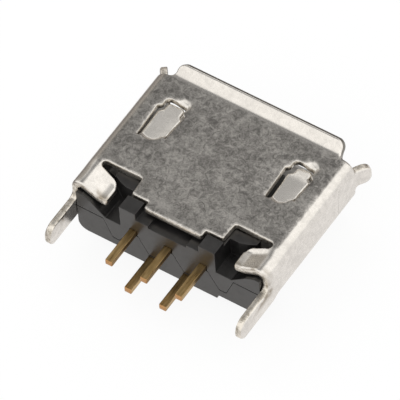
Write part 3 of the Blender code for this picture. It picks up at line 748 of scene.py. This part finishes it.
def nickel_plate():
    """Matte, mottled nickel on the flat plate, burnished where the tools bent it. The flat plate's
    base colour is also painted darker as painted shade, and the rest painted lighter as painted
    light.
    """
    made, tree, shader, place = new_material("mottled_nickel")
    _, y, z = axes(tree, place)
    marks = noise(tree, place, 5.0, 8, 0.75, 0.9)
    patches = noise(tree, place, 0.8, 3, 0.6, 0.8)
    grain = noise(tree, place, 22, 3, 0.7)
    marks_part = reckon(tree, "MULTIPLY", marks, 0.55)
    patches_part = reckon(tree, "MULTIPLY", patches, 0.25)
    grain_part = reckon(tree, "MULTIPLY", grain, 0.20)
    blotch = reckon(tree, "ADD", reckon(tree, "ADD", marks_part, patches_part), grain_part)
    # The mottle is real, but the flat plate's darker base colour is painted shade. The lighter colour
    # of the bends, walls, lip, tabs and tongues is burnish plus painted light.
    painted_shade_mottle = ramp(tree, blotch, [(0.42, warm(0.16)), (0.50, warm(0.33)), (0.58, warm(0.56))])
    painted_lit_colour = ramp(tree, blotch, [(0.42, warm(0.64)), (0.56, warm(0.78))])
    # The flat top of the plate, which is matte and takes the painted shade.
    level = between(tree, z, PLATE_LEVEL - 0.04, PLATE_LEVEL - 0.01)
    front = between(tree, y, FRONT_LEVEL - 0.05, FRONT_LEVEL + 0.10)
    flat = reckon(tree, "MULTIPLY", level, reckon(tree, "SUBTRACT", 1.0, front))
    # Brown patches on the lower rear of the shell, at the legs and the rear of the tabs, are painted
    # shade.
    rear = between(tree, y, REAR_LEVEL + 0.15, REAR_LEVEL - 0.20)
    low = between(tree, z, PLATE_LEVEL - 1.3, PLATE_LEVEL - 0.9)
    painted_shade_patches = reckon(tree, "MULTIPLY", rear, between(tree, patches, 0.44, 0.60))
    painted_shade_patches = reckon(tree, "MULTIPLY", painted_shade_patches, low)
    painted_lit_colour = mix_colour(tree, painted_shade_patches, painted_lit_colour, (0.30, 0.26, 0.21, 1))
    tree.links.new(mix_colour(tree, flat, painted_lit_colour, painted_shade_mottle), shader.inputs["Base Color"])
    matte = ramp(tree, blotch, [(0.42, grey(0.44)), (0.60, grey(0.30))])
    burnished = ramp(tree, blotch, [(0.42, grey(0.30)), (0.60, grey(0.22))])
    tree.links.new(mix_colour(tree, flat, burnished, matte), shader.inputs["Roughness"])
    shader.inputs["Metallic"].default_value = 1.0
    relief = reckon(tree, "MULTIPLY", reckon(tree, "SUBTRACT", marks, 0.5), flat)
    bump(tree, shader, relief, 0.02, 0.35)
    return made


def cut_steel():
    """Bare cut edge of the sheet: duller and browner, with dark spots, and painted dark near the top
    of the mouth as painted shade.
    """
    made, tree, shader, place = new_material("cut_edge")
    _, y, z = axes(tree, place)
    spots = noise(tree, place, 7, 5, 0.7)
    colour = ramp(tree, spots, [(0.38, (0.38, 0.35, 0.30, 1)), (0.55, (0.76, 0.72, 0.66, 1))])
    # The cut edges near the top of the mouth are painted dark: painted shade.
    front = between(tree, y, FRONT_LEVEL - 0.10, FRONT_LEVEL + 0.10)
    high = between(tree, z, PLATE_LEVEL - 0.45, PLATE_LEVEL - 0.30)
    mouth_corner_shade = reckon(tree, "MULTIPLY", front, high)
    edge = mix_colour(tree, mouth_corner_shade, colour, (0.22, 0.21, 0.19, 1))
    tree.links.new(edge, shader.inputs["Base Color"])
    rough = ramp(tree, spots, [(0.4, grey(0.45)), (0.6, grey(0.30))])
    tree.links.new(rough, shader.inputs["Roughness"])
    shader.inputs["Metallic"].default_value = 1.0
    return made


def inner_nickel():
    """Inside of the shell, dull from the bath."""
    made, tree, shader, place = new_material("inner_nickel")
    clouds = noise(tree, place, 2, 4, 0.6)
    colour = ramp(tree, clouds, [(0.3, warm(0.16)), (0.7, warm(0.30))])
    tree.links.new(colour, shader.inputs["Base Color"])
    shader.inputs["Metallic"].default_value = 1.0
    shader.inputs["Roughness"].default_value = 0.45
    return made


shell = make_shell([nickel_plate(), cut_steel(), inner_nickel()])
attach(shell, "root")
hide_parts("shell")


# The housing and the retainer are black glass-filled mouldings, smooth and a little glossy, with
# softly rounded edges and a faint flow pattern from the mould. The shell's tabs hold them, and
# the retainer closes the housing behind the tails.


def soft_edge(tree, radius):
    """Normal that rounds the sharp edges, with a radius in millimetres."""
    node = tree.nodes.new("ShaderNodeBevel")
    node.samples = 6
    node.inputs["Radius"].default_value = radius * MM
    return node.outputs["Normal"]


def black_moulding(name, flow_scale):
    """Black plastic, smooth from the mould, with rounded edges."""
    made, tree, shader, place = new_material(name)
    flow = noise(tree, place, flow_scale, 4, 0.6, 0.4)
    grain = noise(tree, place, 28, 2, 0.5)
    colour = ramp(tree, flow, [(0.3, (0.007, 0.0065, 0.0065, 1)), (0.7, (0.012, 0.011, 0.011, 1))])
    tree.links.new(colour, shader.inputs["Base Color"])
    rough = ramp(tree, flow, [(0.3, grey(0.28)), (0.7, grey(0.42))])
    tree.links.new(rough, shader.inputs["Roughness"])
    shader.inputs["IOR"].default_value = 1.62
    relief = bump(tree, shader, grain, 0.004, 0.25)
    tree.links.new(soft_edge(tree, 0.03), relief.inputs["Normal"])
    return made


for name, flow_scale in (("housing", 3.0), ("retainer", 4.0)):
    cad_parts[name].material_slots[0].material = black_moulding(f"{name}_moulding", flow_scale)


# The five contacts are stamped from copper alloy and plated with thin gold. They lie in the
# channels of the housing, and their tails have dull flanks and copper-coloured cut tips.


def gold_tail(name, tip_y):
    """Gold with streaks along the strip, and bare copper alloy at the cut tip."""
    made, tree, shader, place = new_material(name)
    _, y, _ = axes(tree, place)
    drawn_out = tree.nodes.new("ShaderNodeMapping")
    drawn_out.inputs["Scale"].default_value = (1, 0.15, 1)
    tree.links.new(place, drawn_out.inputs["Vector"])
    streaks = noise(tree, drawn_out.outputs["Vector"], 9, 3, 0.55)
    flank = ramp(tree, streaks, [(0.35, (0.32, 0.21, 0.085, 1)), (0.65, (0.54, 0.38, 0.18, 1))])
    at_tip = between(tree, y, tip_y + 0.10, tip_y + 0.01)
    colour = mix_colour(tree, at_tip, flank, (0.46, 0.26, 0.12, 1))
    tree.links.new(colour, shader.inputs["Base Color"])
    rough = ramp(tree, streaks, [(0.3, grey(0.26)), (0.7, grey(0.36))])
    tree.links.new(rough, shader.inputs["Roughness"])
    shader.inputs["Metallic"].default_value = 1.0
    tree.links.new(soft_edge(tree, 0.04), shader.inputs["Normal"])
    return made


for number in range(1, 6):
    name = f"contact_{number}"
    tip_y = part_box(name)[0].y / MM
    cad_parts[name].material_slots[0].material = gold_tail(f"gold_{number}", tip_y)


# The part lies on a white table in a light tent, with bright walls all round and a dark opening
# overhead. In the metal, the table is dim at the left, and far off in front of the mouth.

WHITE = 1.0, 1.0, 1.0, 1.0

bpy.ops.mesh.primitive_plane_add(size=0.6, location=(0, 0, cad_low.z))
floor = bpy.context.object
floor.name = "floor"
white_table, table, table_shader, table_place = new_material("white_table")
table_shader.inputs["Base Color"].default_value = (0.93, 0.93, 0.93, 1)
table_shader.inputs["Roughness"].default_value = 0.9
table_shader.inputs["Specular IOR Level"].default_value = 0.1
x, y, _ = axes(table, table_place)
not_far = reckon(table, "MAXIMUM", between(table, y, 9, 6), between(table, x, 2, 5))
near = reckon(table, "MULTIPLY", between(table, x, -9, -4.5), not_far)
lit = ramp(table, near, [(0, (0.16, 0.13, 0.11, 1)), (1, (1, 0.97, 0.94, 1))])
paths = table.nodes.new("ShaderNodeLightPath")
by_camera, by_metal = paths.outputs["Is Camera Ray"], paths.outputs["Is Glossy Ray"]
glow = table.nodes.new("ShaderNodeEmission")
table.links.new(mix_colour(table, by_camera, lit, WHITE), glow.inputs["Color"])
seen = reckon(table, "MULTIPLY", reckon(table, "MAXIMUM", by_camera, by_metal), 0.9)
blend = table.nodes.new("ShaderNodeMixShader")
table.links.new(seen, blend.inputs["Fac"])
table.links.new(table_shader.outputs["BSDF"], blend.inputs[1])
table.links.new(glow.outputs["Emission"], blend.inputs[2])
table.links.new(blend.outputs["Shader"], table.nodes["Material Output"].inputs["Surface"])
floor.data.materials.append(white_table)

world = bpy.data.worlds.new("light_tent")
bpy.context.scene.world = world
world.use_nodes = True
sky = world.node_tree
direction = sky.nodes.new("ShaderNodeTexCoord")
x, y, z = axes(sky, direction.outputs["Generated"])
tent = ramp(sky, z, [
    (0.00, (0.80, 0.80, 0.80, 1)),
    (0.15, (1.20, 1.17, 1.12, 1)),
    (0.60, (1.35, 1.32, 1.26, 1)),
    (0.72, (0.50, 0.49, 0.48, 1)),
    (0.82, (0.26, 0.255, 0.25, 1)),
    (0.94, (0.17, 0.17, 0.17, 1)),
])
behind = between(sky, y, 0.15, -0.20)
tent = mix_colour(sky, behind, tent, (1.20, 1.17, 1.12, 1.0))
right = reckon(sky, "MULTIPLY", between(sky, x, -0.28, 0.05), between(sky, z, 0.30, 0.50))
tent = mix_colour(sky, right, tent, (1.30, 1.27, 1.22, 1.0))
left = reckon(sky, "MULTIPLY", between(sky, x, -0.38, -0.70), between(sky, z, 0.80, 0.50))
left = reckon(sky, "MULTIPLY", left, between(sky, y, 0.15, 0.35))
tent = mix_colour(sky, left, tent, (0.38, 0.35, 0.31, 1.0))
ahead = between(sky, y, 0.76, 0.90)
tent = mix_colour(sky, ahead, tent, (0.32, 0.29, 0.27, 1.0))
paths = sky.nodes.new("ShaderNodeLightPath")
not_by_metal = reckon(sky, "SUBTRACT", 1.0, paths.outputs["Is Glossy Ray"])
background = sky.nodes["Background"]
sky.links.new(mix_colour(sky, not_by_metal, tent, WHITE), background.inputs["Color"])
background.inputs["Strength"].default_value = 1.0

lamp_data = bpy.data.lights.new("tent_light", "AREA")
lamp_data.size = 0.10
lamp_data.energy = 0.05
lamp = bpy.data.objects.new("tent_light", lamp_data)
bpy.context.collection.objects.link(lamp)
lamp.location = (-0.10, 0.06, 0.12)
lamp.rotation_euler = lamp.location.to_track_quat("Z", "Y").to_euler()
lamp.visible_glossy = False

bpy.context.scene.view_settings.view_transform = "Standard"
